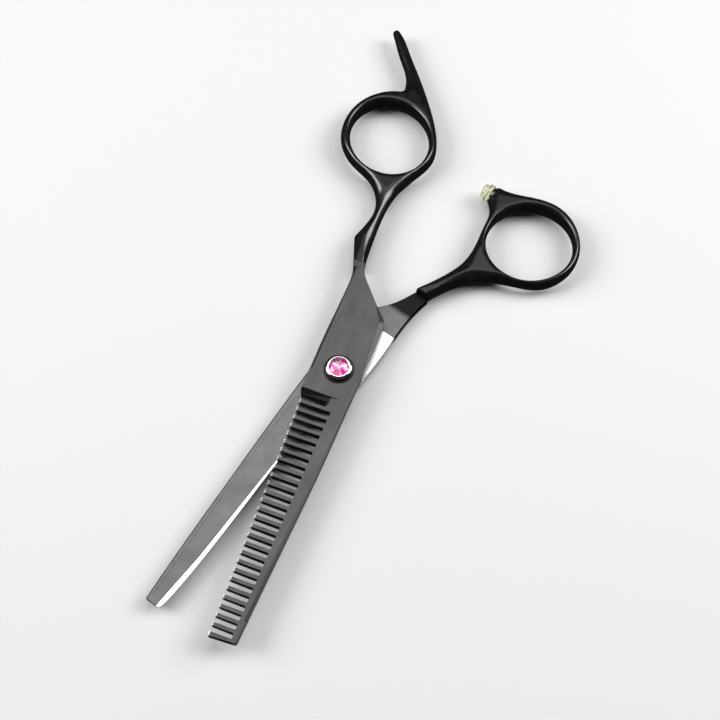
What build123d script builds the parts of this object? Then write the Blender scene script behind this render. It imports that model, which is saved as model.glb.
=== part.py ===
"""Hair thinning shears: a toothed comb half and a plain half turning on a jewelled tension screw.

Units are millimetres. The origin is on the pivot axis, in the plane that the shears lie on.
+Z points up at the jewelled screw head, and the comb blade points along -Y.
Each half is drawn closed, with its blade along -Y. The plain half is then drawn on planes
turned about the pivot by OPEN_ANGLE, so the pair stands a little open.
"""

import os
from math import cos, radians, sin

from build123d import *

# Opening of the pair as it is stored
OPEN_ANGLE = 14.5

# Heights of the stack
PLAIN_BACK_Z = 0.55
PLAIN_RIDE_Z = 3.15
COMB_RIDE_Z = 3.25
COMB_FACE_Z = 5.85
COMB_THICK = COMB_FACE_Z - COMB_RIDE_Z
PLAIN_THICK = PLAIN_RIDE_Z - PLAIN_BACK_Z
HANDLE_THICK = COMB_FACE_Z - PLAIN_BACK_Z
HANDLE_MID_Z = (PLAIN_BACK_Z + COMB_FACE_Z) / 2

# Blades
WELD_Y = 29.6
TIP_Y = -70.8

# Bevels of the comb blade's upper face, each ground off to the left of a line between two points
BEVEL_LINES = [((3.25, -65.0), (5.6, -8.0)), ((5.8, 1.5), (4.45, 15.85)), ((5.15, 14.45), (2.25, 19.05)),
               ((-6.25, 28.0), (-6.1, -2.0))]
BEVEL_SLOPE = 0.6

# Teeth of the comb blade
TOOTH_COUNT = 28
TOOTH_PITCH = 2.20
SLOT_WIDTH = 1.35
SLOT_ROOT_X = 2.35
FIRST_SLOT_Y = -9.65
FIRST_SLOT_ROOT_X = 0.70
SLOT_MOUTH_X = -9.0
SLOT_CORNER_R = 0.35
NOTCH_DEPTH = 0.42
NOTCH_WIDTH = 0.46

# Grinding of the tooth zone towards thin tips
GRIND_RIDGE_X = 3.3
GRIND_SLOPE = 0.075
GRIND_START_Y = -7.4
GRIND_WALL_RUN = 2.2

# Plain blade
RELIEF_Y = 15.7
RELIEF_DEPTH = 0.12
HOLLOW_DEPTH = 0.10
SPINE_GLINT = 0.30
BACK_GRIND_X = -3.85
BACK_GRIND_START_Y = -8.0
BACK_GRIND_SLOPE = 0.37

# Finger rings
COMB_RING_CENTRE = (-12.85, 67.85)
COMB_RING_RADII = (11.45, 10.25)
COMB_RING_TURN = 135
PLAIN_RING_CENTRE = (18.1, 57.2)
PLAIN_RING_RADII = (11.1, 10.5)
PLAIN_RING_TURN = 36
HANDLE_FILLET = 0.7

# Pivot stack
NUT_FLANGE_R = 3.70
NUT_FLANGE_TOP = 1.05
NUT_RECESS_R = 3.85
KEY_R = 2.70
KEY_FLATS = 4.40
KEY_TOP_Z = 2.90
BARREL_R = 2.30
BARREL_TOP_Z = 5.30
SPANNER_X = 2.10
SPANNER_R = 0.50
SPANNER_DEPTH = 0.50
THREAD_R = 1.50
THREAD_FLOOR_Z = 0.90
BUSHING_R = 2.80
BUSHING_BORE_R = 2.36
BUSHING_TOP_Z = 5.35
THRUST_R = 4.60
THRUST_BORE_R = 2.76
THRUST_FLOOR_Z = 2.90
THRUST_TOP_Z = 3.22
SEAT_R = 3.78
SEAT_Z = 5.35
HEAD_WASHER_R = 3.66
HEAD_WASHER_BORE_R = 2.40
HEAD_WASHER_TOP_Z = 5.95
SPRING_R = 3.10
SPRING_BORE_R = 1.60
SPRING_BASE_Z = 5.98
SPRING_TOP_Z = 6.15
SHANK_R = 1.44
SHANK_TIP_Z = 1.20
HEAD_BASE_R = 3.42
HEAD_TOP_R = 2.88
HEAD_TOP_Z = 7.50
CUP_R = 2.60
CUP_FLOOR_Z = 6.60

# Jewel
JEWEL_SIDES = 8
JEWEL_R = 2.58
JEWEL_GIRDLE_Z = 7.35
JEWEL_TABLE_R = 1.50
JEWEL_CULET_R = 0.90
JEWEL_TOP_Z = 8.10

# Bumper in the stub of the thumb ring
STUB_FACE_X = 1.85
BUMPER_Y = 64.5
BUMPER_FLANGE_R = 2.30
BUMPER_FLANGE_LENGTH = 1.45
BUMPER_NOSE_R = 1.85
BUMPER_NOSE_LENGTH = 1.20
BUMPER_NOSE_FILLET = 0.60
BUMPER_STEM_R = 1.00
BUMPER_STEM_LENGTH = 2.60


def plain_plane(height):
    """A level plane of the plain half, turned open about the pivot."""
    turn = radians(-OPEN_ANGLE)
    return Plane(origin=(0, 0, height), x_dir=(cos(turn), sin(turn), 0), z_dir=(0, 0, 1))


def plain_section(y):
    """A plane across the plain half at y, whose local axes are the half's x and the height."""
    turned = plain_plane(0)
    place = turned.from_local_coords(Vector(0, y, 0))
    return Plane(origin=place, x_dir=turned.x_dir, z_dir=-turned.y_dir)


def plain_long_section(x):
    """A plane along the plain half at x, whose local axes are the half's y and the height."""
    turned = plain_plane(0)
    place = turned.from_local_coords(Vector(x, 0, 0))
    return Plane(origin=place, x_dir=turned.y_dir, z_dir=turned.x_dir)


def bevel_section(start, end):
    """The plane across a bevel at the end of its line, with local x pointing off the blade."""
    along = (Vector(*start) - Vector(*end)).normalized()
    return Plane(origin=(end[0], end[1], COMB_FACE_Z), x_dir=(-along.Y, along.X, 0), z_dir=along)


def tooth_tip_x(y):
    """The gentle curve that the tooth tips lie on."""
    along = (FIRST_SLOT_Y - y) / (FIRST_SLOT_Y - TIP_Y)
    return -6.0 + 3.2 * along - 0.25 * along**2


def level_edges(part, height):
    """The edges of a part that lie in one level plane."""
    return part.edges().filter_by_position(Axis.Z, height - 0.01, height + 0.01)


# The tooth zone is ground away by a wedge that starts at a sloped wall
with BuildPart() as tooth_grind:
    with BuildSketch(Plane.XZ.offset(-GRIND_START_Y - GRIND_WALL_RUN)) as grind_section:
        with BuildLine():
            deep = COMB_FACE_Z - GRIND_SLOPE * (GRIND_RIDGE_X - SLOT_MOUTH_X)
            Polyline((GRIND_RIDGE_X, COMB_FACE_Z), (SLOT_MOUTH_X, deep), (SLOT_MOUTH_X, COMB_FACE_Z + 1),
                     (GRIND_RIDGE_X, COMB_FACE_Z + 1), close=True)
        make_face()
    extrude(amount=GRIND_START_Y - TIP_Y + GRIND_WALL_RUN + 5)
    with BuildSketch(Plane.YZ.offset(SLOT_MOUTH_X)) as grind_length:
        with BuildLine():
            Polyline((GRIND_START_Y + GRIND_WALL_RUN, COMB_FACE_Z + 1),
                     (GRIND_START_Y - GRIND_WALL_RUN * COMB_THICK, COMB_RIDE_Z),
                     (TIP_Y - 5, COMB_RIDE_Z), (TIP_Y - 5, COMB_FACE_Z + 1), close=True)
        make_face()
    extrude(amount=GRIND_RIDGE_X - SLOT_MOUTH_X, mode=Mode.INTERSECT)

# Comb blade: ricasso, square tip, slots with notched tooth tips, screw seat and bushing bore
with BuildPart() as comb_blade:
    with BuildSketch(Plane.XY.offset(COMB_RIDE_Z)):
        with BuildLine():
            Line((-4.85, WELD_Y), (-8, WELD_Y))
            Spline((-8, WELD_Y), (-6.9, 26.55), (-6.5, 22.05), tangents=[(0.35, -1), (0, -1)])
            Spline((-6.5, 22.05), (-6.8, 9.05), (-6.6, -8.05), tangents=[(0, -1), (0.02, -1)])
            Line((-6.6, -8.05), (tooth_tip_x(-9.85), -9.85))
            Spline((tooth_tip_x(-9.85), -9.85), (tooth_tip_x(-40), -40), (tooth_tip_x(TIP_Y), TIP_Y))
            Line((tooth_tip_x(TIP_Y), TIP_Y), (3.05, TIP_Y + 0.4))
            ThreePointArc((3.05, TIP_Y + 0.4), (3.45, TIP_Y + 0.6), (3.65, TIP_Y + 1.05))
            Spline((3.65, TIP_Y + 1.05), (4.55, -46.95), (5.45, -22.95), (5.8, -0.95), (6.1, 7.05),
                   (5.9, 14.05))
            Spline((5.9, 14.05), (5.35, 16.45), (4.05, 17.95), tangents=[(-0.05, 1), (-1, 0.8)])
            Spline((4.05, 17.95), (-0.75, 23.05), (-4.85, WELD_Y), tangents=[(-1, 0.8), (-0.2, 1)])
        make_face()
    extrude(amount=COMB_THICK)
    add(tooth_grind.part, mode=Mode.SUBTRACT)
    for start, end in BEVEL_LINES:
        with BuildSketch(bevel_section(start, end)):
            with BuildLine():
                Polyline((0, 0), (3, -3 * BEVEL_SLOPE), (3, 2), (0, 2), close=True)
            make_face()
        extrude(amount=(Vector(*start) - Vector(*end)).length, mode=Mode.SUBTRACT)
    with BuildSketch(Plane.XY.offset(COMB_RIDE_Z)):
        with Locations(((FIRST_SLOT_ROOT_X + SLOT_MOUTH_X) / 2, FIRST_SLOT_Y)):
            RectangleRounded(FIRST_SLOT_ROOT_X - SLOT_MOUTH_X, SLOT_WIDTH, SLOT_CORNER_R)
        for number in range(1, TOOTH_COUNT):
            with Locations(((SLOT_ROOT_X + SLOT_MOUTH_X) / 2, FIRST_SLOT_Y - TOOTH_PITCH * number)):
                RectangleRounded(SLOT_ROOT_X - SLOT_MOUTH_X, SLOT_WIDTH, SLOT_CORNER_R)
        for number in range(TOOTH_COUNT - 1):
            tooth_y = FIRST_SLOT_Y - TOOTH_PITCH * (number + 0.5)
            with Locations((tooth_tip_x(tooth_y), tooth_y)):
                Rectangle(NOTCH_DEPTH, NOTCH_WIDTH, rotation=45)
        with Locations((0, 0)):
            Circle(BUSHING_R)
    extrude(amount=COMB_THICK, mode=Mode.SUBTRACT)
    with BuildSketch(Plane.XY.offset(SEAT_Z)):
        Circle(SEAT_R)
    extrude(amount=COMB_FACE_Z - SEAT_Z, mode=Mode.SUBTRACT)
comb_blade.part.label = "comb_blade"

# Comb handle: shank with its grip notch, finger ring and curved finger rest in one forging
with BuildPart() as comb_handle:
    with BuildSketch(Plane.XY.offset(PLAIN_BACK_Z)) as comb_outline:
        with BuildLine():
            Line((-4.85, WELD_Y), (-8, WELD_Y))
            Spline((-8, WELD_Y), (-9.35, 33.4), (-10.6, 37), tangents=[(-0.35, 1), (-0.3, 1)])
            Spline((-10.6, 37), (-9.25, 41.3), (-8.65, 45.8), (-9.85, 50), (-13.55, 54.3), (-19.65, 57.6),
                   (-24.65, 62.8), (-26.1, 70), (-23.85, 77), (-20.15, 80.9), (-14.95, 83.3))
            Spline((-14.95, 83.3), (-15.85, 88.3), (-19.15, 93.2), (-24.35, 100.9),
                   tangents=[(0.15, 1), (-0.55, 0.83)])
            ThreePointArc((-24.35, 100.9), (-24.19, 102.25), (-22.95, 102.2))
            Spline((-22.95, 102.2), (-17.75, 96.4), (-12.05, 89.2), (-6.35, 81.4), (-1.45, 73), (0.15, 66),
                   (-2.45, 59.2), (-5.05, 52.6), (-5.9, 44), (-5.55, 35.8), (-4.85, WELD_Y),
                   tangents=[(0.81, -0.58), (0.2, -1)])
        make_face()
        fillet(comb_outline.vertices().sort_by_distance((-14.95, 83.3))[0], 0.9)
        fillet(comb_outline.vertices().sort_by_distance((-10.6, 37.0))[0], 1.0)
        with Locations(COMB_RING_CENTRE):
            Ellipse(*COMB_RING_RADII, rotation=COMB_RING_TURN, mode=Mode.SUBTRACT)
    extrude(amount=HANDLE_THICK)
    rims = level_edges(comb_handle, PLAIN_BACK_Z) + level_edges(comb_handle, COMB_FACE_Z)
    fillet(rims.filter_by(lambda e: e.center().Y > WELD_Y + 0.1), HANDLE_FILLET)
comb_handle.part.label = "comb_handle"

# Plain blade: hollow ride face, ground back, pivot key, nut recess and thrust washer pocket
with BuildPart() as back_grind:
    with BuildSketch(plain_section(BACK_GRIND_START_Y)):
        with BuildLine():
            reach = 10.0
            high = PLAIN_BACK_Z + BACK_GRIND_SLOPE * reach
            Polyline((BACK_GRIND_X, PLAIN_BACK_Z), (BACK_GRIND_X + reach, high), (BACK_GRIND_X + reach, -1),
                     (BACK_GRIND_X, -1), close=True)
        make_face()
    extrude(amount=BACK_GRIND_START_Y - TIP_Y + 5)

with BuildPart() as plain_blade:
    with BuildSketch(plain_plane(PLAIN_BACK_Z)):
        with BuildLine():
            Line((5.8, WELD_Y), (2.2, WELD_Y))
            Spline((2.2, WELD_Y), (-1.05, 22.95), (-4.65, 19.15), tangents=[(-0.4, -1), (-1, -0.8)])
            Spline((-4.65, 19.15), (-6.35, 17.35), (-6.85, 14.95), tangents=[(-1, -0.8), (0, -1)])
            Spline((-6.85, 14.95), (-6.75, 0.95), (-5.85, -19.05), (-4.65, -39.05), (-3.35, -59.05),
                   (-2.35, TIP_Y + 0.2))
            Line((-2.35, TIP_Y + 0.2), (1.35, TIP_Y + 0.2))
            Spline((1.35, TIP_Y + 0.2), (2.05, -66.05), (2.25, -49.05), (1.85, -31.05), (1.85, -21.05),
                   (3.75, -7.05), (5.65, 0.95), tangents=[(0.4, 1), (0.2, 1)])
            Spline((5.65, 0.95), (5.5, 10.95), (4.95, 20.95), (5.8, WELD_Y), tangents=[(0, 1), (0.2, 1)])
        make_face()
    extrude(amount=PLAIN_THICK)
    spine = level_edges(plain_blade, PLAIN_RIDE_Z).filter_by(lambda e: e.length > 60).sort_by(Axis.X)[0]
    chamfer(spine, length=SPINE_GLINT)
    add(back_grind.part, mode=Mode.SUBTRACT)
    with BuildSketch(plain_plane(PLAIN_RIDE_Z - HOLLOW_DEPTH)):
        with BuildLine():
            Polyline((-4.85, -11.05), (-3.65, -39.05), (-1.55, TIP_Y + 1.6), (0.45, TIP_Y + 1.6), close=False)
            Spline((0.45, TIP_Y + 1.6), (1.05, -49.05), (0.75, -29.05), (0.85, -21.05), (2.55, -9.05))
            Line((2.55, -9.05), (-4.85, -11.05))
        make_face()
    extrude(amount=HOLLOW_DEPTH, mode=Mode.SUBTRACT)
    with BuildSketch(plain_plane(PLAIN_RIDE_Z - RELIEF_DEPTH)):
        with Locations((0, (RELIEF_Y + WELD_Y + 1) / 2)):
            Rectangle(30, WELD_Y + 1 - RELIEF_Y)
    extrude(amount=RELIEF_DEPTH, mode=Mode.SUBTRACT)
    with BuildSketch(plain_plane(THRUST_FLOOR_Z)):
        Circle(THRUST_R)
    extrude(amount=PLAIN_RIDE_Z - THRUST_FLOOR_Z, mode=Mode.SUBTRACT)
    with BuildSketch(plain_plane(PLAIN_BACK_Z)):
        Circle(NUT_RECESS_R)
    extrude(amount=NUT_FLANGE_TOP - PLAIN_BACK_Z, mode=Mode.SUBTRACT)
    with BuildSketch(plain_plane(PLAIN_BACK_Z)):
        Circle(KEY_R)
        Rectangle(KEY_FLATS, 2 * KEY_R + 1, mode=Mode.INTERSECT)
    extrude(amount=PLAIN_THICK, mode=Mode.SUBTRACT)
plain_blade.part.label = "plain_blade"

# Plain handle: shank, thumb ring and the stub that holds the bumper
with BuildPart() as plain_handle:
    with BuildSketch(plain_plane(PLAIN_BACK_Z)) as plain_outline:
        with BuildLine():
            Line((5.8, WELD_Y), (2.2, WELD_Y))
            Spline((2.2, WELD_Y), (5.1, 36.4), (7.1, 42.6), (7, 48.8), (5.6, 55),
                   (4.3, 59.6), (1.9, 62.2), tangents=[(0.45, 1), (-1, 0.6)])
            Line((1.9, 62.2), (1.9, 67))
            Spline((1.9, 67), (11.5, 69.5), (17.9, 70.9), (27.4, 66.4), (30.8, 58),
                   (26.9, 48.6), (17.9, 44.1), (11.9, 39.6), (5.8, WELD_Y), tangents=[(1, 0), (-0.5, -1)])
        make_face()
        fillet(plain_outline.vertices().sort_by_distance((1.9, 67))[0], 1.0)
        fillet(plain_outline.vertices().sort_by_distance((1.9, 62.2))[0], 1.0)
        with Locations(PLAIN_RING_CENTRE):
            Ellipse(*PLAIN_RING_RADII, rotation=PLAIN_RING_TURN, mode=Mode.SUBTRACT)
    extrude(amount=HANDLE_THICK)
    rims = level_edges(plain_handle, PLAIN_BACK_Z) + level_edges(plain_handle, COMB_FACE_Z)
    beyond_weld = rims.filter_by(lambda e: plain_plane(0).to_local_coords(e.center()).Y > WELD_Y + 0.1)
    fillet(beyond_weld, HANDLE_FILLET)
    with BuildSketch(plain_long_section(0)):
        with Locations((BUMPER_Y, HANDLE_MID_Z)):
            Circle(BUMPER_STEM_R)
    extrude(amount=STUB_FACE_X + BUMPER_STEM_LENGTH, mode=Mode.SUBTRACT)
plain_handle.part.label = "plain_handle"

# Pivot nut: a flange in the back of the plain blade with two spanner holes, a flatted key and a
# barrel for the screw
with BuildPart() as pivot_nut:
    with BuildSketch(plain_plane(0)):
        Circle(NUT_FLANGE_R)
    extrude(amount=NUT_FLANGE_TOP)
    with BuildSketch(plain_plane(NUT_FLANGE_TOP)):
        Circle(KEY_R)
        Rectangle(KEY_FLATS, 2 * KEY_R + 1, mode=Mode.INTERSECT)
    extrude(amount=KEY_TOP_Z - NUT_FLANGE_TOP)
    with BuildSketch(plain_plane(KEY_TOP_Z)):
        Circle(BARREL_R)
    extrude(amount=BARREL_TOP_Z - KEY_TOP_Z)
    with BuildSketch(plain_plane(THREAD_FLOOR_Z)):
        Circle(THREAD_R)
    extrude(amount=BARREL_TOP_Z - THREAD_FLOOR_Z, mode=Mode.SUBTRACT)
    chamfer(level_edges(pivot_nut, 0), length=0.25)
    with BuildSketch(plain_plane(0)):
        with Locations((-SPANNER_X, 0), (SPANNER_X, 0)):
            Circle(SPANNER_R)
    extrude(amount=SPANNER_DEPTH, mode=Mode.SUBTRACT)
pivot_nut.part.label = "pivot_nut"

# Thrust washer, let into the ride face of the plain blade
with BuildPart() as thrust_washer:
    with BuildSketch(plain_plane(THRUST_FLOOR_Z)):
        Circle(THRUST_R)
        Circle(THRUST_BORE_R, mode=Mode.SUBTRACT)
    extrude(amount=THRUST_TOP_Z - THRUST_FLOOR_Z)
thrust_washer.part.label = "thrust_washer"

# Bushing pressed into the comb blade
with BuildPart() as pivot_bushing:
    with BuildSketch(Plane.XY.offset(COMB_RIDE_Z)):
        Circle(BUSHING_R)
        Circle(BUSHING_BORE_R, mode=Mode.SUBTRACT)
    extrude(amount=BUSHING_TOP_Z - COMB_RIDE_Z)
pivot_bushing.part.label = "pivot_bushing"

# Washer that the screw head turns on, sunk in the comb blade
with BuildPart() as head_washer:
    with BuildSketch(Plane.XY.offset(SEAT_Z)):
        Circle(HEAD_WASHER_R)
        Circle(HEAD_WASHER_BORE_R, mode=Mode.SUBTRACT)
    extrude(amount=HEAD_WASHER_TOP_Z - SEAT_Z)
head_washer.part.label = "head_washer"

# Spring washer under the screw head
with BuildPart() as spring_washer:
    with BuildSketch(Plane.XY.offset(SPRING_BASE_Z)):
        Circle(SPRING_R)
        Circle(SPRING_BORE_R, mode=Mode.SUBTRACT)
    extrude(amount=SPRING_TOP_Z - SPRING_BASE_Z)
spring_washer.part.label = "spring_washer"

# Tension screw with a cupped head
with BuildPart() as pivot_screw:
    with BuildSketch(Plane.XZ):
        with BuildLine():
            Line((0, SHANK_TIP_Z), (SHANK_R - 0.3, SHANK_TIP_Z))
            Line((SHANK_R - 0.3, SHANK_TIP_Z), (SHANK_R, SHANK_TIP_Z + 0.3))
            Line((SHANK_R, SHANK_TIP_Z + 0.3), (SHANK_R, SPRING_TOP_Z))
            Line((SHANK_R, SPRING_TOP_Z), (HEAD_BASE_R, SPRING_TOP_Z))
            ThreePointArc((HEAD_BASE_R, SPRING_TOP_Z), (3.28, 6.95), (HEAD_TOP_R, HEAD_TOP_Z))
            Line((HEAD_TOP_R, HEAD_TOP_Z), (CUP_R, HEAD_TOP_Z))
            Line((CUP_R, HEAD_TOP_Z), (CUP_R, CUP_FLOOR_Z))
            Line((CUP_R, CUP_FLOOR_Z), (0, CUP_FLOOR_Z))
            Line((0, CUP_FLOOR_Z), (0, SHANK_TIP_Z))
        make_face()
    revolve(axis=Axis.Z)
pivot_screw.part.label = "pivot_screw"

# Faceted jewel in the cup of the screw head
with BuildPart() as pivot_jewel:
    with BuildSketch(Plane.XY.offset(CUP_FLOOR_Z)):
        RegularPolygon(JEWEL_CULET_R, JEWEL_SIDES)
    with BuildSketch(Plane.XY.offset(JEWEL_GIRDLE_Z - 0.1)):
        RegularPolygon(JEWEL_R, JEWEL_SIDES)
    loft(ruled=True)
    with BuildSketch(Plane.XY.offset(JEWEL_GIRDLE_Z - 0.1)):
        RegularPolygon(JEWEL_R, JEWEL_SIDES)
    extrude(amount=0.1)
    with BuildSketch(Plane.XY.offset(JEWEL_GIRDLE_Z)):
        RegularPolygon(JEWEL_R, JEWEL_SIDES)
    with BuildSketch(Plane.XY.offset(JEWEL_TOP_Z)):
        RegularPolygon(JEWEL_TABLE_R, JEWEL_SIDES)
    loft(ruled=True)
pivot_jewel.part.label = "pivot_jewel"

# Bumper: a stem in the stub, a flange against its face and a rounded nose
with BuildPart() as bumper:
    with BuildSketch(plain_long_section(STUB_FACE_X)):
        with Locations((BUMPER_Y, HANDLE_MID_Z)):
            Circle(BUMPER_STEM_R)
    extrude(amount=BUMPER_STEM_LENGTH)
    with BuildSketch(plain_long_section(STUB_FACE_X)):
        with Locations((BUMPER_Y, HANDLE_MID_Z)):
            Circle(BUMPER_FLANGE_R)
    extrude(amount=-BUMPER_FLANGE_LENGTH)
    with BuildSketch(plain_long_section(STUB_FACE_X - BUMPER_FLANGE_LENGTH)):
        with Locations((BUMPER_Y, HANDLE_MID_Z)):
            Circle(BUMPER_NOSE_R)
    extrude(amount=-BUMPER_NOSE_LENGTH)
    nose_end = bumper.faces().sort_by(lambda f: plain_plane(0).to_local_coords(f.center()).X)[0]
    fillet(nose_end.edges(), BUMPER_NOSE_FILLET)
bumper.part.label = "bumper"

os.makedirs("parts", exist_ok=True)
export_step(comb_blade.part, "parts/comb_blade.step")
export_step(comb_handle.part, "parts/comb_handle.step")
export_step(plain_blade.part, "parts/plain_blade.step")
export_step(plain_handle.part, "parts/plain_handle.step")
export_step(pivot_nut.part, "parts/pivot_nut.step")
export_step(thrust_washer.part, "parts/thrust_washer.step")
export_step(pivot_bushing.part, "parts/pivot_bushing.step")
export_step(head_washer.part, "parts/head_washer.step")
export_step(spring_washer.part, "parts/spring_washer.step")
export_step(pivot_screw.part, "parts/pivot_screw.step")
export_step(pivot_jewel.part, "parts/pivot_jewel.step")
export_step(bumper.part, "parts/bumper.step")
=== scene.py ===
import math

import bmesh
import bpy
import numpy as np
from mathutils import Matrix, Vector
from mathutils.geometry import delaunay_2d_cdt


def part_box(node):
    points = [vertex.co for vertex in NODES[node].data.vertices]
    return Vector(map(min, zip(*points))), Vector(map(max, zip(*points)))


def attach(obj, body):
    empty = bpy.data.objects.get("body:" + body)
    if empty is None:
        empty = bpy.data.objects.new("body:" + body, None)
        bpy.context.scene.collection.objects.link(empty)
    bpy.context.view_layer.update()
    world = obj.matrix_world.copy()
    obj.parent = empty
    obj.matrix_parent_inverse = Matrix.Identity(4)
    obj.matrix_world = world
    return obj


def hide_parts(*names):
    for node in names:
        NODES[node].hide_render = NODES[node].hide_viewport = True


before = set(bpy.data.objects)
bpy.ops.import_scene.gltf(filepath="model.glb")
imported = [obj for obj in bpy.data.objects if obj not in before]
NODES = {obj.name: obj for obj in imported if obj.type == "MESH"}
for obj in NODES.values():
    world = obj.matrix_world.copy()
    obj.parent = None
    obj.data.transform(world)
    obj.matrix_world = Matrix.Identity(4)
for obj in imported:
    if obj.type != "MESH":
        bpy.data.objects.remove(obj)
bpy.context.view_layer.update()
SCENE = bpy.context.scene
MM = 0.001
UP = Vector((0, 0, 1))

# Heights in millimetres, read from the CAD
FACE_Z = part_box("comb_blade")[1][2] / MM
BACK_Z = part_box("comb_handle")[0][2] / MM
RIDE_FACE_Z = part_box("plain_blade")[1][2] / MM
MID_Z = (FACE_Z + BACK_Z) / 2
HALF_THICK = (FACE_Z - BACK_Z) / 2

# The plain half is drawn closed, and stands this far open at rest
OPEN = math.radians(14.5)

# Both handles are welded to their blades at this Y of the closed drawing
WELD_Y = 29.6


def turned(x, y):
    """A point of the plain half's closed drawing, in the row's axes."""
    c, s = math.cos(OPEN), math.sin(OPEN)
    return (x * c + y * s, y * c - x * s)


def closed(points):
    """Points of the plain half turned back into its closed drawing."""
    c, s = math.cos(OPEN), math.sin(OPEN)
    return np.stack([points[:, 0] * c - points[:, 1] * s, points[:, 0] * s + points[:, 1] * c], 1)


# ---------------------------------------------------------------- camera
ROLL = math.radians(21.5)
TILT = math.radians(25.0)
AIM = Vector((3.41, 5.30, 3.2)) * MM
RANGE = 0.3285
LENS = 67.0
SENSOR = 36.0
CLIP_NEAR, CLIP_FAR = 0.01, 10.0

# The picture's right and down, level with the floor, and the way back from the aim to the camera
right = Vector((math.cos(ROLL), math.sin(ROLL), 0))
down = Vector((math.sin(ROLL), -math.cos(ROLL), 0))
back = (UP * math.cos(TILT) + down * math.sin(TILT)).normalized()

cam_data = bpy.data.cameras.new("camera")
cam_data.lens = LENS
cam_data.sensor_width = SENSOR
cam_data.clip_start = CLIP_NEAR
cam_data.clip_end = CLIP_FAR
camera = bpy.data.objects.new("camera", cam_data)
axes = Matrix((right, back.cross(right), back)).transposed().to_4x4()
camera.matrix_world = Matrix.Translation(AIM + back * RANGE) @ axes
SCENE.collection.objects.link(camera)
SCENE.camera = camera
SCENE.view_settings.view_transform = "Standard"


# ---------------------------------------------------------------- materials
class Nodes:
    """A material's node tree, with short calls for the nodes that the finishes share."""

    def __init__(self, name):
        self.material = bpy.data.materials.new(name)
        self.material.use_nodes = True
        self.tree = self.material.node_tree
        self.bsdf = self.tree.nodes["Principled BSDF"]

    def add(self, kind, **settings):
        node = self.tree.nodes.new(kind)
        for key, value in settings.items():
            setattr(node, key, value)
        return node

    def link(self, source, target):
        self.tree.links.new(source, target)

    def put(self, **values):
        """Sets the shader's own sockets."""
        for key, value in values.items():
            self.bsdf.inputs[key.replace("_", " ")].default_value = value

    def drive(self, **sources):
        """Links node outputs to the shader's sockets."""
        for key, source in sources.items():
            self.link(source, self.bsdf.inputs[key.replace("_", " ")])

    def coords(self, scale=(1.0, 1.0, 1.0), angle=0.0):
        """Object coordinates in millimetres, turned about Z and then stretched by scale."""
        source = self.add("ShaderNodeTexCoord")
        rotate = self.add("ShaderNodeMapping", vector_type="POINT")
        rotate.inputs["Rotation"].default_value = (0, 0, angle)
        rotate.inputs["Scale"].default_value = (1 / MM, 1 / MM, 1 / MM)
        stretch = self.add("ShaderNodeVectorMath", operation="MULTIPLY")
        stretch.inputs[1].default_value = scale
        self.link(source.outputs["Object"], rotate.inputs["Vector"])
        self.link(rotate.outputs["Vector"], stretch.inputs[0])
        return stretch.outputs["Vector"]

    def noise(self, vector, detail, roughness=0.55):
        node = self.add("ShaderNodeTexNoise")
        node.inputs["Scale"].default_value = 1.0
        node.inputs["Detail"].default_value = detail
        node.inputs["Roughness"].default_value = roughness
        self.link(vector, node.inputs["Vector"])
        return node.outputs["Fac"]

    def axes(self, vector):
        """A vector's X, Y and Z."""
        split = self.add("ShaderNodeSeparateXYZ")
        self.link(vector, split.inputs["Vector"])
        return split.outputs["X"], split.outputs["Y"], split.outputs["Z"]

    def upward(self, normal):
        """How far the surface faces the world's up, from -1 to 1, by its smooth Normal or True Normal."""
        return self.axes(self.add("ShaderNodeNewGeometry").outputs[normal])[2]

    def spread(self, value, low, high, to_low=0.0, to_high=1.0):
        """Maps low..high to to_low..to_high, and stays level beyond."""
        node = self.add("ShaderNodeMapRange")
        node.inputs["From Min"].default_value = low
        node.inputs["From Max"].default_value = high
        node.inputs["To Min"].default_value = to_low
        node.inputs["To Max"].default_value = to_high
        self.link(value, node.inputs["Value"])
        return node.outputs["Result"]

    def rises(self, value, low, high):
        """0 up to low, and 1 from high."""
        return self.spread(value, low, high)

    def falls(self, value, low, high):
        """1 up to low, and 0 from high."""
        return self.spread(value, low, high, 1.0, 0.0)

    def mix(self, factor, first, second):
        node = self.add("ShaderNodeMix", data_type="RGBA")
        self.link(factor, node.inputs["Factor"])
        for socket, colour in ((node.inputs["A"], first), (node.inputs["B"], second)):
            if isinstance(colour, tuple):
                socket.default_value = (*colour, 1.0)
            else:
                self.link(colour, socket)
        return node.outputs["Result"]

    def calc(self, operation, first, second=0.0):
        node = self.add("ShaderNodeMath", operation=operation)
        for socket, value in zip(node.inputs, (first, second)):
            if isinstance(value, (int, float)):
                socket.default_value = value
            else:
                self.link(value, socket)
        return node.outputs["Value"]

    def product(self, first, *others):
        for other in others:
            first = self.calc("MULTIPLY", first, other)
        return first

    def blend(self, first, share, second):
        """The given share of the first value, and the second for the rest."""
        return self.calc("ADD", self.product(first, share), self.product(second, 1 - share))

    def wall(self):
        """1 on upright sides and 0 on faces and backs."""
        return self.falls(self.calc("ABSOLUTE", self.upward("True Normal")), 0.3, 0.4)

    def bump(self, height, strength, distance, edge=0.0):
        """Fine relief, over edges that look broken by a radius of edge."""
        node = self.add("ShaderNodeBump")
        if edge:
            worn = self.add("ShaderNodeBevel", samples=6)
            worn.inputs["Radius"].default_value = edge
            self.link(worn.outputs["Normal"], node.inputs["Normal"])
        node.inputs["Strength"].default_value = strength
        node.inputs["Distance"].default_value = distance
        self.link(height, node.inputs["Height"])
        self.drive(Normal=node.outputs["Normal"])


# The depth of the finishes' fine relief
GRAIN = 0.01 * MM

GLOSS_BLACK = (0.0025, 0.0022, 0.0028), (0.006, 0.0055, 0.0065)
# Painted shade on the flats and painted highlight on the slopes: how strongly the coating reflects, by how
# it faces
GLOSS_ON_SLOPES, GLOSS_ON_FLATS = 0.62, 0.26


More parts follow.
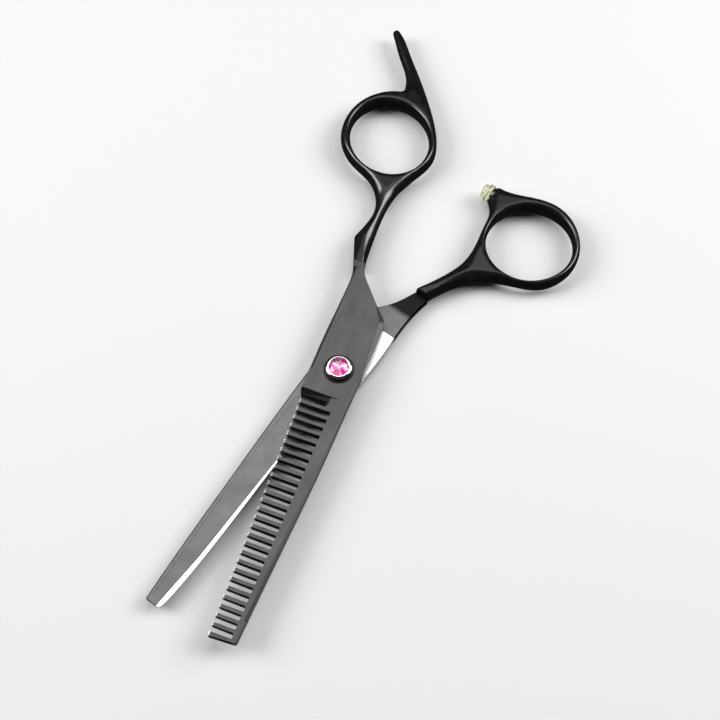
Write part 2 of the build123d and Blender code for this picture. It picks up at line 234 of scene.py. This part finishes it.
def black_coating(name):
    """Black coating, a little uneven, with painted shade and highlight: it reflects more on its slopes and
    less on its flats, by how they face.
    """
    m = Nodes(name)
    cloud = m.noise(m.coords((0.5, 0.5, 0.5)), detail=4)
    fine = m.noise(m.coords((9, 9, 9)), detail=2)
    gloss = m.spread(m.upward("Normal"), 0.90, 0.99, GLOSS_ON_SLOPES, GLOSS_ON_FLATS)
    rough = m.calc("ADD", m.spread(cloud, 0.3, 0.7, 0.20, 0.25), m.spread(fine, 0.4, 0.7, 0.0, 0.03))
    m.drive(Base_Color=m.mix(m.rises(cloud, 0.35, 0.7), *GLOSS_BLACK),
            Specular_IOR_Level=gloss, Roughness=rough)
    m.bump(fine, 0.10, GRAIN)
    return m.material


COMB_GREY = (0.050, 0.050, 0.050), (0.085, 0.084, 0.084)
COMB_BEVEL_SHADE = (0.036, 0.036, 0.037)
COMB_WALL_SHADE = (0.010, 0.010, 0.010)
COMB_LIT_SIDE = (0.10, 0.10, 0.10)
COMB_BARE_GLINT = (0.62, 0.62, 0.62)

# The tooth tips' line: X over the share of TOOTH_RUN that a point lies beyond the first tooth
FIRST_TOOTH_Y, TOOTH_RUN = -9.65, 61.15
TIP_START_X, TIP_LEAN, TIP_BOW = -6.0, 3.2, -0.25

# Places on the comb blade: where its painted bevel shade and its painted-light outer side begin, and where
# the ground step's painted shadow ends
BEVEL_FROM_X = 1.5
SIDE_FROM_X = 2.5
STEP_END_X = 1.15
STEP_TOP_Y = -7.0


def comb_coating(name):
    """Dark grey satin coat with faint lines along the blade, with painted light and shade: a darker bevel,
    slot walls and ground step painted black as shade, a lighter matte outer side as painted light, and bare
    tooth tips painted bright as their glints.
    """
    m = Nodes(name)
    x, y, z = m.axes(m.coords())
    lines = m.noise(m.coords((7.0, 0.10, 4.0)), detail=4, roughness=0.6)
    cloud = m.noise(m.coords((0.25, 0.12, 0.3)), detail=3)
    coat = m.mix(m.rises(m.blend(lines, 0.5, cloud), 0.35, 0.65), *COMB_GREY)

    upward = m.upward("True Normal")
    # Painted shade: the sloped bevel along the spine is darker
    bevel_shade = m.product(m.rises(upward, 0.5, 0.6), m.falls(upward, 0.95, 0.98),
                      m.rises(x, BEVEL_FROM_X, BEVEL_FROM_X + 0.2))
    coat = m.mix(bevel_shade, coat, COMB_BEVEL_SHADE)

    # The ground step above the first tooth is painted black as shadow, like the slots' walls
    step = m.product(m.falls(z, FACE_Z - 0.06, FACE_Z - 0.02),
                     m.rises(y, FIRST_TOOTH_Y - 0.02, FIRST_TOOTH_Y + 0.02),
                     m.falls(y, STEP_TOP_Y - 0.2, STEP_TOP_Y), m.falls(x, STEP_END_X - 0.2, STEP_END_X))
    coat = m.mix(m.calc("MAXIMUM", step, m.wall()), coat, COMB_WALL_SHADE)
    # Painted light: the outer side is a lighter matte grey, so it reads lit
    side = m.product(m.wall(), m.rises(x, SIDE_FROM_X, SIDE_FROM_X + 0.1))
    coat = m.mix(side, coat, COMB_LIT_SIDE)

    # Bare steel at the tooth tips, painted bright as the tips' glints
    along = m.product(m.calc("ADD", y, -FIRST_TOOTH_Y), -1 / TOOTH_RUN)
    tip_line = m.calc("ADD", m.product(along, TIP_LEAN), m.product(along, along, TIP_BOW))
    depth = m.calc("SUBTRACT", m.calc("ADD", x, -TIP_START_X), tip_line)
    bare_glint = m.product(m.falls(depth, 0.18, 0.40), m.rises(along, -0.01, 0.0))
    m.drive(Base_Color=m.mix(bare_glint, coat, COMB_BARE_GLINT), Metallic=m.spread(side, 0, 1, 0.9, 0.1),
            Roughness=m.spread(lines, 0.3, 0.7, 0.36, 0.46))
    m.bump(lines, 0.22, GRAIN, edge=0.05 * MM)
    return m.material


STEEL_GREY = (0.070, 0.071, 0.072), (0.17, 0.171, 0.173)
STEEL_POLISHED = (0.90, 0.90, 0.90)
STEEL_LIT_SIDE = (0.42, 0.42, 0.42)
STEEL_ROOT = (0.012, 0.012, 0.013)

# Places on the plain blade, in its closed drawing
HONED_FROM_X = 1.38
HONED_WIDENS_Y, HONED_WIDENING = (-56.0, -70.0), 0.70
RICASSO_FROM_X, RICASSO_FROM_Y = -0.2, -12.2
BRIGHT_SIDE_X, BRIGHT_SIDE_TOP_Y = 1.2, 15.0
ROOT_Y = 22.4


def ground_steel(name, angle):
    """Steel brushed across, with a polished edge and ricasso, painted light on the right side (a matte light
    grey), and a black coated root.
    """
    m = Nodes(name)
    x, y, z = m.axes(m.coords(angle=angle))
    lines = m.noise(m.coords((0.30, 6.0, 1.0), angle), detail=5, roughness=0.7)
    cloud = m.noise(m.coords((0.2, 0.15, 0.3), angle), detail=3)
    brushed = m.mix(m.rises(m.blend(lines, 0.65, cloud), 0.3, 0.7), *STEEL_GREY)

    widening = m.spread(y, *HONED_WIDENS_Y, 0.0, HONED_WIDENING)
    honed = m.rises(m.calc("ADD", x, widening), HONED_FROM_X, HONED_FROM_X + 0.1)
    ricasso = m.product(m.rises(x, RICASSO_FROM_X, RICASSO_FROM_X + 0.2),
                        m.rises(y, RICASSO_FROM_Y, RICASSO_FROM_Y + 0.2))
    on_ride_face = m.rises(z, RIDE_FACE_Z - 0.045, RIDE_FACE_Z - 0.025)
    polished = m.product(on_ride_face, m.calc("MAXIMUM", honed, ricasso))
    steel = m.mix(polished, brushed, STEEL_POLISHED)

    # Painted light: the right side near the ricasso is a light matte grey
    side = m.product(m.wall(), m.rises(x, BRIGHT_SIDE_X, BRIGHT_SIDE_X + 0.1),
                     m.falls(y, BRIGHT_SIDE_TOP_Y, BRIGHT_SIDE_TOP_Y + 1.5))
    steel = m.mix(side, steel, STEEL_LIT_SIDE)
    ragged_y = m.calc("ADD", y, m.product(cloud, 1.2))
    steel = m.mix(m.rises(ragged_y, ROOT_Y, ROOT_Y + 1.4), steel, STEEL_ROOT)

    rough = m.product(m.spread(lines, 0.3, 0.7, 0.34, 0.48), m.spread(polished, 0, 1, 1.0, 0.30))
    m.drive(Base_Color=steel, Metallic=m.spread(side, 0, 1, 1.0, 0.1), Roughness=rough)
    m.bump(lines, 0.30, GRAIN, edge=0.03 * MM)
    return m.material


def plain_metal(name, low, high, rough):
    """Metal between two shades, in soft clouds."""
    m = Nodes(name)
    m.put(Metallic=1.0)
    cloud = m.noise(m.coords((2, 2, 2)), detail=4)
    m.drive(Base_Color=m.mix(cloud, low, high), Roughness=m.spread(cloud, 0.3, 0.7, rough, rough + 0.08))
    m.bump(cloud, 0.1, GRAIN)
    return m.material


CHROME = (0.82, 0.82, 0.83), (0.90, 0.90, 0.91)
SKIRT_SHADE = (0.06, 0.06, 0.06)
SKIRT_TOP_Z = 6.92


def screw_chrome(name):
    """Bright chrome over a skirt painted dark as shade."""
    m = Nodes(name)
    m.put(Metallic=1.0)
    cloud = m.noise(m.coords((2, 2, 2)), detail=4)
    z = m.axes(m.coords())[2]
    # Painted shade: the skirt below SKIRT_TOP_Z is dark
    skirt_shade = m.falls(z, SKIRT_TOP_Z, SKIRT_TOP_Z + 0.1)
    m.drive(Base_Color=m.mix(skirt_shade, m.mix(cloud, *CHROME), SKIRT_SHADE),
            Roughness=m.spread(cloud, 0.3, 0.7, 0.05, 0.13))
    m.bump(cloud, 0.1, GRAIN)
    return m.material


def nylon(name):
    """Black nylon with a fine grain."""
    m = Nodes(name)
    grain = m.noise(m.coords((6, 6, 6)), detail=3)
    m.drive(Base_Color=m.mix(grain, (0.006, 0.006, 0.006), (0.016, 0.016, 0.016)),
            Roughness=m.spread(grain, 0.3, 0.7, 0.5, 0.62))
    m.bump(grain, 0.2, GRAIN)
    return m.material


def crystal(name):
    """Clear pink crystal with faint clouds."""
    m = Nodes(name)
    m.put(Transmission_Weight=1.0, IOR=1.58, Roughness=0.01)
    cloud = m.noise(m.coords((1.5, 1.5, 1.5)), detail=2)
    m.drive(Base_Color=m.mix(cloud, (1.0, 0.80, 0.90), (1.0, 0.88, 0.95)))
    return m.material


def foil(name, low, high):
    """Satin foil behind the crystal."""
    m = Nodes(name)
    m.put(Metallic=1.0)
    cloud = m.noise(m.coords((3, 3, 3)), detail=2)
    m.drive(Base_Color=m.mix(cloud, low, high), Roughness=m.spread(cloud, 0.3, 0.7, 0.30, 0.45))
    return m.material


def resin(name):
    """Clear, slightly yellow moulded resin."""
    m = Nodes(name)
    m.put(Transmission_Weight=0.85, IOR=1.48)
    cloud = m.noise(m.coords((0.8, 0.8, 0.8)), detail=3)
    m.drive(Base_Color=m.mix(cloud, (0.62, 0.62, 0.38), (0.84, 0.84, 0.66)),
            Roughness=m.spread(cloud, 0.3, 0.7, 0.06, 0.16))
    m.bump(m.noise(m.coords((4, 4, 4)), detail=2), 0.15, 2 * GRAIN)
    return m.material


def dress(node, material):
    """Gives a CAD node one material all over."""
    slots = NODES[node].data.materials
    slots.clear()
    slots.append(material)


def ride(obj, body, slot, *materials):
    """Puts a piece on its body, with its finish."""
    for material in materials:
        obj.data.materials.append(material)
    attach(obj, body)


# ---------------------------------------------------------------- outlines of the CAD handles
# A vertex this near to a height, in millimetres, is at it, and a chain of so few points is no outline
AT_HEIGHT = 0.01
SHORT_CHAIN = 8


def wall_loops(node, height):
    """The closed outlines of a node's walls at one height, in millimetres, longest first."""
    mesh = NODES[node].data
    keys, places, near = {}, [], {}
    for v in mesh.vertices:
        if abs(v.co.z / MM - height) < AT_HEIGHT:
            key = (round(v.co.x / MM, 3), round(v.co.y / MM, 3))
            if key not in keys:
                keys[key] = len(places)
                places.append((v.co.x / MM, v.co.y / MM))
            near[v.index] = keys[key]
    joined = {}
    for e in mesh.edges:
        a, b = near.get(e.vertices[0]), near.get(e.vertices[1])
        if a is not None and b is not None and a != b:
            joined.setdefault(a, set()).add(b)
            joined.setdefault(b, set()).add(a)
    loops, used = [], set()
    for first in sorted(joined, key=lambda i: (len(joined[i]), i)):
        if first in used:
            continue
        chain, here = [], first
        while here is not None:
            chain.append(places[here])
            used.add(here)
            here = next((i for i in sorted(joined[here]) if i not in used), None)
        if len(chain) > SHORT_CHAIN:
            loops.append(np.array(chain))
    return sorted(loops, key=loop_length, reverse=True)


def loop_length(loop):
    return float(np.linalg.norm(np.roll(loop, -1, 0) - loop, axis=1).sum())


def resample(loop, step, corners):
    """Points a step apart round a closed loop, keeping the loop's points nearest to the corners."""
    marks = [int(np.argmin(np.linalg.norm(loop - np.array(c), axis=1))) for c in corners] or [0]
    marks = sorted(set(marks))
    out = []
    for here, there in zip(marks, marks[1:] + [marks[0] + len(loop)]):
        part = np.array([loop[i % len(loop)] for i in range(here, there + 1)])
        along = np.concatenate([[0], np.cumsum(np.linalg.norm(np.diff(part, axis=0), axis=1))])
        count = max(1, round(along[-1] / step))
        at = np.linspace(0, along[-1], count + 1)[:-1]
        out.append(np.stack([np.interp(at, along, part[:, k]) for k in (0, 1)], 1))
    return np.concatenate(out)


def signed_area(loop):
    x, y = loop[:, 0], loop[:, 1]
    return 0.5 * float((x * np.roll(y, -1) - np.roll(x, -1) * y).sum())


def distance(points, starts, ends):
    """Each point's distance to the nearest of the given segments."""
    best = np.full(len(points), 1e9)
    for a, b in zip(starts, ends):
        ab = b - a
        t = np.clip(((points - a) @ ab) / max(float(ab @ ab), 1e-12), 0, 1)
        best = np.minimum(best, np.linalg.norm(points - (a + t[:, None] * ab), axis=1))
    return best


def loop_distance(points, loop):
    return distance(points, loop, np.roll(loop, -1, 0))


def inside(points, loop):
    """Whether each point is inside a closed loop."""
    hit = np.zeros(len(points), bool)
    x, y = points[:, 0], points[:, 1]
    for (x1, y1), (x2, y2) in zip(loop, np.roll(loop, -1, 0)):
        if y1 != y2:
            hit ^= ((y1 > y) != (y2 > y)) & (x < (x2 - x1) * (y - y1) / (y2 - y1) + x1)
    return hit


def on_handle(points, outer, hole):
    return inside(points, outer) & ~inside(points, hole)


# ---------------------------------------------------------------- smooth handles
# The CAD handles' rim fillet, so their full outline ends this far below the face
RIM_FILLET = 0.7

# The rounding reaches this far in from the outer edge and from the ring's hole
EDGE_REACH = 1.75
HOLE_REACH = 1.35
NECK_REACH = 0.40
NECK_RUN = 9
SECTION_POWER = 2.15

# Away from the ring the outer rounding grows by the share CROWN, by distance from the hole
CROWN = 1.0
CROWN_FROM, CROWN_RUN = 2, 5

# Mesh points lie along the outlines, on rings where the rounding has turned by these angles, and in
# rows over the middle. A ring or row point nearer to an outline than its share of room is left out.
RIM_SPACING = 0.27
RING_ANGLES = (10, 20, 30, 40, 50, 62, 76)
RING_ROOM = 0.97
MIDDLE_SPACING = 0.34
ROW_SPACING = 0.866 * MIDDLE_SPACING
MIDDLE_ROOM = 0.84
MERGE_WITHIN = 1e-5
ON_EDGE = 1e-4


def section(reach, d):
    """Height over half thickness at a distance d in from a rounded edge of the given reach."""
    u = np.clip(d / reach, 0, 1)
    return (1 - (1 - u) ** SECTION_POWER) ** (1 / SECTION_POWER)


def smooth(x):
    x = np.clip(x, 0, 1)
    return x * x * (3 - 2 * x)


def neck_reach(y):
    """The outer rounding's reach, from small at the weld to full."""
    return NECK_REACH + (EDGE_REACH - NECK_REACH) * smooth((y - WELD_Y) / NECK_RUN)


def edge_rings(outer, hole):
    """Rings of points close inside both outlines, where the rounding is steep."""
    rings = []
    for loop, reach in ((outer, EDGE_REACH), (hole, HOLE_REACH)):
        along = np.roll(loop, -1, 0) - np.roll(loop, 1, 0)
        normal = np.stack([-along[:, 1], along[:, 0]], 1) / np.linalg.norm(along, axis=1)[:, None]
        for angle in RING_ANGLES:
            deep = reach * (1 - math.cos(math.radians(angle)))
            ring = loop + normal * deep
            room = np.minimum(loop_distance(ring, outer), loop_distance(ring, hole))
            rings.append(ring[on_handle(ring, outer, hole) & (room > RING_ROOM * deep)])
    return rings


def middle_points(outer, hole):
    """A triangular grid of points over the handle's middle."""
    low, high = outer.min(0), outer.max(0)
    rows = []
    for j, y in enumerate(np.arange(low[1], high[1], ROW_SPACING)):
        xs = np.arange(low[0] + (j % 2) * MIDDLE_SPACING / 2, high[0], MIDDLE_SPACING)
        rows.append(np.stack([xs, np.full(len(xs), y)], 1))
    grid = np.concatenate(rows)
    grid = grid[on_handle(grid, outer, hole)]
    room = np.minimum(loop_distance(grid, outer), loop_distance(grid, hole))
    return grid[room > EDGE_REACH * MIDDLE_ROOM]


def loop_edges(first, count):
    return [(first + i, first + (i + 1) % count) for i in range(count)]


def plan(outer, hole):
    """The handle seen from above: its points, its triangles and the edges of its outer outline."""
    points = np.concatenate([outer, hole, *edge_rings(outer, hole), middle_points(outer, hole)])
    rim = loop_edges(0, len(outer))
    edges = rim + loop_edges(len(outer), len(hole))
    verts, _, faces, origin, _, _ = delaunay_2d_cdt([Vector(p) for p in points], edges, [], 0, MERGE_WITHIN)
    spots = np.array([(v.x, v.y) for v in verts])
    centres = np.array([spots[list(f)].mean(0) for f in faces])
    faces = [f for f, good in zip(faces, on_handle(centres, outer, hole)) if good]
    where = {old: new for new, olds in enumerate(origin) for old in olds}
    return spots, faces, [(where[a], where[b]) for a, b in rim]


def two_sided(name, spots, heights, faces, rim):
    """A mesh of the faces above and below the middle plane, which meet where the height is 0.

    Where the rim has height, flat walls close it, with points of their own so that they shade flat.
    """
    bm = bmesh.new()
    tops = [bm.verts.new((x * MM, y * MM, (MID_Z + h) * MM)) for (x, y), h in zip(spots, heights)]
    bottoms = [top if h == 0 else bm.verts.new((x * MM, y * MM, (MID_Z - h) * MM))
               for top, (x, y), h in zip(tops, spots, heights)]
    for f in faces:
        if all(tops[i] is bottoms[i] for i in f):
            continue
        up = list(f) if signed_area(spots[list(f)]) > 0 else list(f)[::-1]
        for ring in ([tops[i] for i in up], [bottoms[i] for i in up[::-1]]):
            bm.faces.new(ring).smooth = True
    for a, b in rim:
        ring = list(dict.fromkeys((tops[a], bottoms[a], bottoms[b], tops[b])))
        if len(ring) > 2:
            bm.faces.new([bm.verts.new(v.co) for v in ring])
    mesh = bpy.data.meshes.new(name)
    bm.normal_update()
    bm.to_mesh(mesh)
    bm.free()
    return mesh


def handle(name, node, corners, flat, reach_at, thick_at):
    """A handle with rounded edges over a CAD node's own outline.

    corners are points that stay sharp, and flat says which outline points lie on a sawn or welded end.
    reach_at and thick_at give the edge's rounding and the share of the full thickness at each point.
    """
    outer, hole = wall_loops(node, FACE_Z - RIM_FILLET)[:2]
    outer = resample(outer if signed_area(outer) > 0 else outer[::-1], RIM_SPACING, corners)
    hole = resample(hole if signed_area(hole) < 0 else hole[::-1], RIM_SPACING, [])
    spots, faces, rim = plan(outer, hole)

    is_flat = flat(outer)
    rounded = ~(is_flat & np.roll(is_flat, -1))
    d_out = distance(spots, outer[rounded], np.roll(outer, -1, 0)[rounded])
    d_hole = loop_distance(spots, hole)
    crown = 1 + CROWN * smooth((d_hole - CROWN_FROM) / CROWN_RUN)
    heights = HALF_THICK * thick_at(spots)
    heights *= section(reach_at(spots) * crown, d_out) * section(HOLE_REACH, d_hole)
    heights[np.minimum(d_out, d_hole) < ON_EDGE] = 0

    obj = bpy.data.objects.new(name, two_sided(name, spots, heights, faces, rim))
    SCENE.collection.objects.link(obj)
    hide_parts(node)
    return obj


# An outline point this near to a line, in millimetres, is on it
ON_LINE = 0.03
COMB_WELD_X = (-4.85, -8.0)
PLAIN_WELD_X = (2.2, 5.8)
STUB_X = 1.9
STUB_Y = (61, 68)
REST_THINS_Y, REST_THINNING_RUN, REST_THINNING = 83, 19, 0.30
coating = black_coating("black_coating")


def comb_flat(points):
    return np.abs(points[:, 1] - WELD_Y) < ON_LINE


def comb_reach(points):
    return neck_reach(points[:, 1])


def comb_thick(points):
    """The finger rest gets thinner towards its tip."""
    return 1 - REST_THINNING * smooth((points[:, 1] - REST_THINS_Y) / REST_THINNING_RUN)


def plain_flat(points):
    """The weld and the stub's face."""
    x, y = closed(points).T
    stub = (np.abs(x - STUB_X) < ON_LINE) & (y > STUB_Y[0]) & (y < STUB_Y[1])
    return (np.abs(y - WELD_Y) < ON_LINE) | stub


def plain_reach(points):
    return neck_reach(closed(points)[:, 1])


def plain_thick(points):
    return np.ones(len(points))


comb_corners = [(x, WELD_Y) for x in COMB_WELD_X]
comb_shank = handle("comb_shank", "comb_handle", comb_corners, comb_flat, comb_reach, comb_thick)
ride(comb_shank, "comb_half", "handle_coating", coating)

plain_corners = [turned(x, WELD_Y) for x in PLAIN_WELD_X]
plain_shank = handle("plain_shank", "plain_handle", plain_corners, plain_flat, plain_reach, plain_thick)
ride(plain_shank, "plain_half", "handle_coating", coating)


# ---------------------------------------------------------------- screw, jewel and bumper
def mesh_piece(name, verts, faces, node, smooth_faces=True, slots=None):
    """A piece from points in millimetres that stands for a CAD node."""
    mesh = bpy.data.meshes.new(name)
    mesh.from_pydata([(x * MM, y * MM, z * MM) for x, y, z in verts], [], faces)
    for i, polygon in enumerate(mesh.polygons):
        polygon.use_smooth = smooth_faces
        if slots:
            polygon.material_index = slots[i]
    mesh.update()
    obj = bpy.data.objects.new(name, mesh)
    SCENE.collection.objects.link(obj)
    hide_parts(node)
    return obj


def lathe(profile, sides, radius_at=None):
    """A closed turned form. The profile's points are (radius, height), up the axis and back to it."""
    verts, rows = [], []
    for r, z in profile:
        if r == 0:
            rows.append([len(verts)] * sides)
            verts.append((0.0, 0.0, z))
            continue
        rows.append(list(range(len(verts), len(verts) + sides)))
        for k in range(sides):
            angle = 2 * math.pi * k / sides
            here = radius_at(r, z, angle) if radius_at else r
            verts.append((here * math.cos(angle), here * math.sin(angle), z))
    faces = []
    for low, high in zip(rows, rows[1:]):
        for k in range(sides):
            n = (k + 1) % sides
            ring = tuple(dict.fromkeys((low[k], low[n], high[n], high[k])))
            if len(ring) > 2:
                faces.append(ring)
    return verts, faces


# The screw, in millimetres: a threaded shank, a relief under the head, and a cupped head with a domed rim
SCREW_SIDES = 96
THREAD_PITCH = 0.5
THREAD_ROOT, THREAD_CREST = 1.20, 1.44
THREAD_LOW, THREAD_HIGH = 1.5, 5.3
THREAD_STEP = THREAD_PITCH / 8
RELIEF_R = 1.30
SHANK_TIP_Z = 1.2
HEAD_UNDER_Z = 6.15
DOME_R, DOME_Z = 2.56, 6.46
DOME_WIDE, DOME_HIGH = 0.86, 1.0
HEAD_R = DOME_R + DOME_WIDE
CUP_R, CUP_FLOOR_Z = 2.45, 6.60


def thread_radius(r, z, angle):
    """The shank's radius: a helical ridge between THREAD_LOW and THREAD_HIGH."""
    if r > THREAD_CREST or not THREAD_LOW <= z <= THREAD_HIGH:
        return r
    phase = (z / THREAD_PITCH - angle / (2 * math.pi)) % 1
    ridge = min(1.0, max(0.0, 1.35 - 2.7 * abs(phase - 0.5)))
    return THREAD_ROOT + (THREAD_CREST - THREAD_ROOT) * ridge


def dome_point(degrees):
    angle = math.radians(degrees)
    return (DOME_R + DOME_WIDE * math.cos(angle), DOME_Z + DOME_HIGH * math.sin(angle))


thread_rows = int((THREAD_HIGH - THREAD_LOW) / THREAD_STEP) + 1
screw_profile = [(0, SHANK_TIP_Z), (1.10, SHANK_TIP_Z), (RELIEF_R, 1.42)]
screw_profile += [(THREAD_CREST, THREAD_LOW + THREAD_STEP * i) for i in range(thread_rows)]
screw_profile += [(RELIEF_R, 5.45), (THREAD_CREST, 5.55), (THREAD_CREST, 6.13), (1.50, HEAD_UNDER_Z)]
screw_profile += [(HEAD_R - 0.14, HEAD_UNDER_Z), (HEAD_R - 0.04, 6.18), (HEAD_R, 6.24)]
screw_profile += [dome_point(degrees) for degrees in range(0, 91, 5)]
screw_profile += [(2.50, 7.44), (2.46, 7.38), (CUP_R, 7.20), (CUP_R, CUP_FLOOR_Z + 0.06)]
screw_profile += [(CUP_R - 0.06, CUP_FLOOR_Z), (0, CUP_FLOOR_Z)]
verts, faces = lathe(screw_profile, SCREW_SIDES, thread_radius)
screw = mesh_piece("screw_body", verts, faces, "pivot_screw")
ride(screw, "tension_screw", "screw_chrome", screw_chrome("chrome"))

TABLE_R, STAR_R, GIRDLE_R, CULET_R = 1.34, 1.86, 2.43, 0.25
TABLE_Z, GIRDLE_Z, GIRDLE_LOW_Z, CULET_Z = 8.08, 7.36, 7.29, 6.63


def jewel_mesh():
    """A round brilliant: table, stars, kites and girdle facets over a foiled pavilion.

    Slot 0 is the crystal, and slots 1 to 3 are the foils: light, mid and deep copies of one pink foil, which
    paint light and shade on the pavilion's facets.
    """
    half = math.pi / 8
    star_share = (STAR_R * math.cos(half) - TABLE_R) / (GIRDLE_R - TABLE_R)
    star_z = TABLE_Z - star_share * (TABLE_Z - GIRDLE_Z)
    verts = []

    def ring(radius, z, count, start=0.0):
        first = len(verts)
        for k in range(count):
            angle = start + 2 * math.pi * k / count
            verts.append((radius * math.cos(angle), radius * math.sin(angle), z))
        return [first + k for k in range(count)]

    table, star = ring(TABLE_R, TABLE_Z, 8), ring(STAR_R, star_z, 8, half)
    girdle, low = ring(GIRDLE_R, GIRDLE_Z, 16), ring(GIRDLE_R, GIRDLE_LOW_Z, 16)
    culet = ring(CULET_R, CULET_Z, 8, half)
    faces, slots = [tuple(table)], [0]
    for k in range(8):
        after, before = (k + 1) % 8, (k - 1) % 8
        here, between, ahead = 2 * k, 2 * k + 1, (2 * k + 2) % 16
        faces += [(table[k], star[k], table[after]),
                  (table[k], star[before], girdle[here], star[k]),
                  (star[k], girdle[here], girdle[between]),
                  (star[k], girdle[between], girdle[ahead])]
        slots += [0, 0, 0, 0]
        faces += [(culet[before], culet[k], low[here]),
                  (low[here], culet[k], low[between]),
                  (low[between], culet[k], low[ahead])]
        slots += [1 + k % 3, 1 + (k + 1) % 3, 1 + (2 * k) % 3]
    for k in range(16):
        after = (k + 1) % 16
        faces.append((girdle[k], low[k], low[after], girdle[after]))
        slots.append(0)
    faces.append(tuple(culet[::-1]))
    slots.append(1)
    return verts, faces, slots


verts, faces, slots = jewel_mesh()
jewel = mesh_piece("jewel_brilliant", verts, faces, "pivot_jewel", False, slots)
# Lighter and darker copies of one pink foil, as painted light and shade on the facets
foils = [foil("foil_painted_light", (0.92, 0.72, 0.82), (0.98, 0.88, 0.94)),
         foil("foil_pink", (0.85, 0.22, 0.52), (0.92, 0.36, 0.64)),
         foil("foil_painted_shade", (0.78, 0.05, 0.36), (0.88, 0.12, 0.48))]
ride(jewel, "tension_screw", "jewel_crystal", crystal("crystal"), *foils)

# The bumper stands on the stub's face with its stem inside. Its profile's heights run out from that face
BUMPER_AT = (1.85, 64.5)
BUMPER_SIDES = 64
bumper_stem = [(0, -2.6), (0.86, -2.6), (1.0, -2.46), (1.0, -0.02), (1.04, 0.0)]
bumper_collar = [(2.12, 0.0), (2.24, 0.05), (2.30, 0.16), (2.30, 1.22),
                 (2.25, 1.36), (2.12, 1.44), (1.95, 1.45)]
bumper_nose = [(1.86, 1.48), (1.84, 1.56), (1.84, 2.05), (1.80, 2.25), (1.70, 2.43), (1.52, 2.56),
               (1.25, 2.63), (0.9, 2.65), (0, 2.65)]
verts, faces = lathe(bumper_stem + bumper_collar + bumper_nose, BUMPER_SIDES)
placed = []
for x, y, out in verts:
    placed.append((*turned(BUMPER_AT[0] - out, BUMPER_AT[1] + y), MID_Z + x))
bumper = mesh_piece("bumper_resin", placed, faces, "bumper")
ride(bumper, "plain_half", "bumper_clear", resin("resin"))

# ---------------------------------------------------------------- CAD nodes that stay
dress("comb_blade", comb_coating("comb_coating"))
dress("plain_blade", ground_steel("ground_steel", OPEN))
dress("pivot_nut", plain_metal("nut_steel", (0.10, 0.10, 0.10), (0.16, 0.16, 0.16), 0.35))
dress("thrust_washer", nylon("thrust_nylon"))
dress("head_washer", nylon("head_nylon"))
dress("pivot_bushing", plain_metal("bronze", (0.42, 0.27, 0.12), (0.52, 0.34, 0.16), 0.35))
dress("spring_washer", plain_metal("spring_steel", (0.4, 0.4, 0.4), (0.5, 0.5, 0.5), 0.3))

# ---------------------------------------------------------------- stage
FLOOR_HALF, FLOOR_Z = 3, -0.0002
PAPER_GREY = (0.52, 0.52, 0.52, 1)
WORLD_STRENGTH = 0.03

floor_corners = [(x * FLOOR_HALF, y * FLOOR_HALF, FLOOR_Z) for x, y in ((-1, -1), (1, -1), (1, 1), (-1, 1))]
floor_mesh = bpy.data.meshes.new("floor")
floor_mesh.from_pydata(floor_corners, [], [(0, 1, 2, 3)])
floor = bpy.data.objects.new("floor", floor_mesh)
SCENE.collection.objects.link(floor)
paper = Nodes("paper")
paper.put(Base_Color=PAPER_GREY, Roughness=0.9)
floor_mesh.materials.append(paper.material)
floor.visible_glossy = False

world = bpy.data.worlds.new("world")
world.use_nodes = True
background = world.node_tree.nodes["Background"]
background.inputs["Color"].default_value = (1, 1, 1, 1)
background.inputs["Strength"].default_value = WORLD_STRENGTH
SCENE.world = world


def softbox(name, azimuth, elevation, away, size, power, glossy=True):
    """A square-on soft light, at an angle from the picture's right and a height above the floor."""
    side, high = math.radians(azimuth), math.radians(elevation)
    level = right * math.cos(side) - down * math.sin(side)
    place = (level * math.cos(high) + UP * math.sin(high)) * away
    data = bpy.data.lights.new(name, "AREA")
    data.shape = "RECTANGLE"
    data.size, data.size_y = size
    data.energy = power
    light = bpy.data.objects.new(name, data)
    light.location = place
    light.visible_glossy = glossy
    light.rotation_euler = (-place).to_track_quat("-Z", "Y").to_euler()
    SCENE.collection.objects.link(light)


softbox("overhead", 90, 70, 0.70, (0.60, 0.36), 2.2)
softbox("right_box", 14, 38, 0.70, (0.40, 0.40), 5.0)
softbox("left_box", 172, 38, 0.70, (0.40, 0.40), 5.0)
softbox("floor_fill", 90, 75, 0.80, (0.9, 0.9), 1.5, glossy=False)
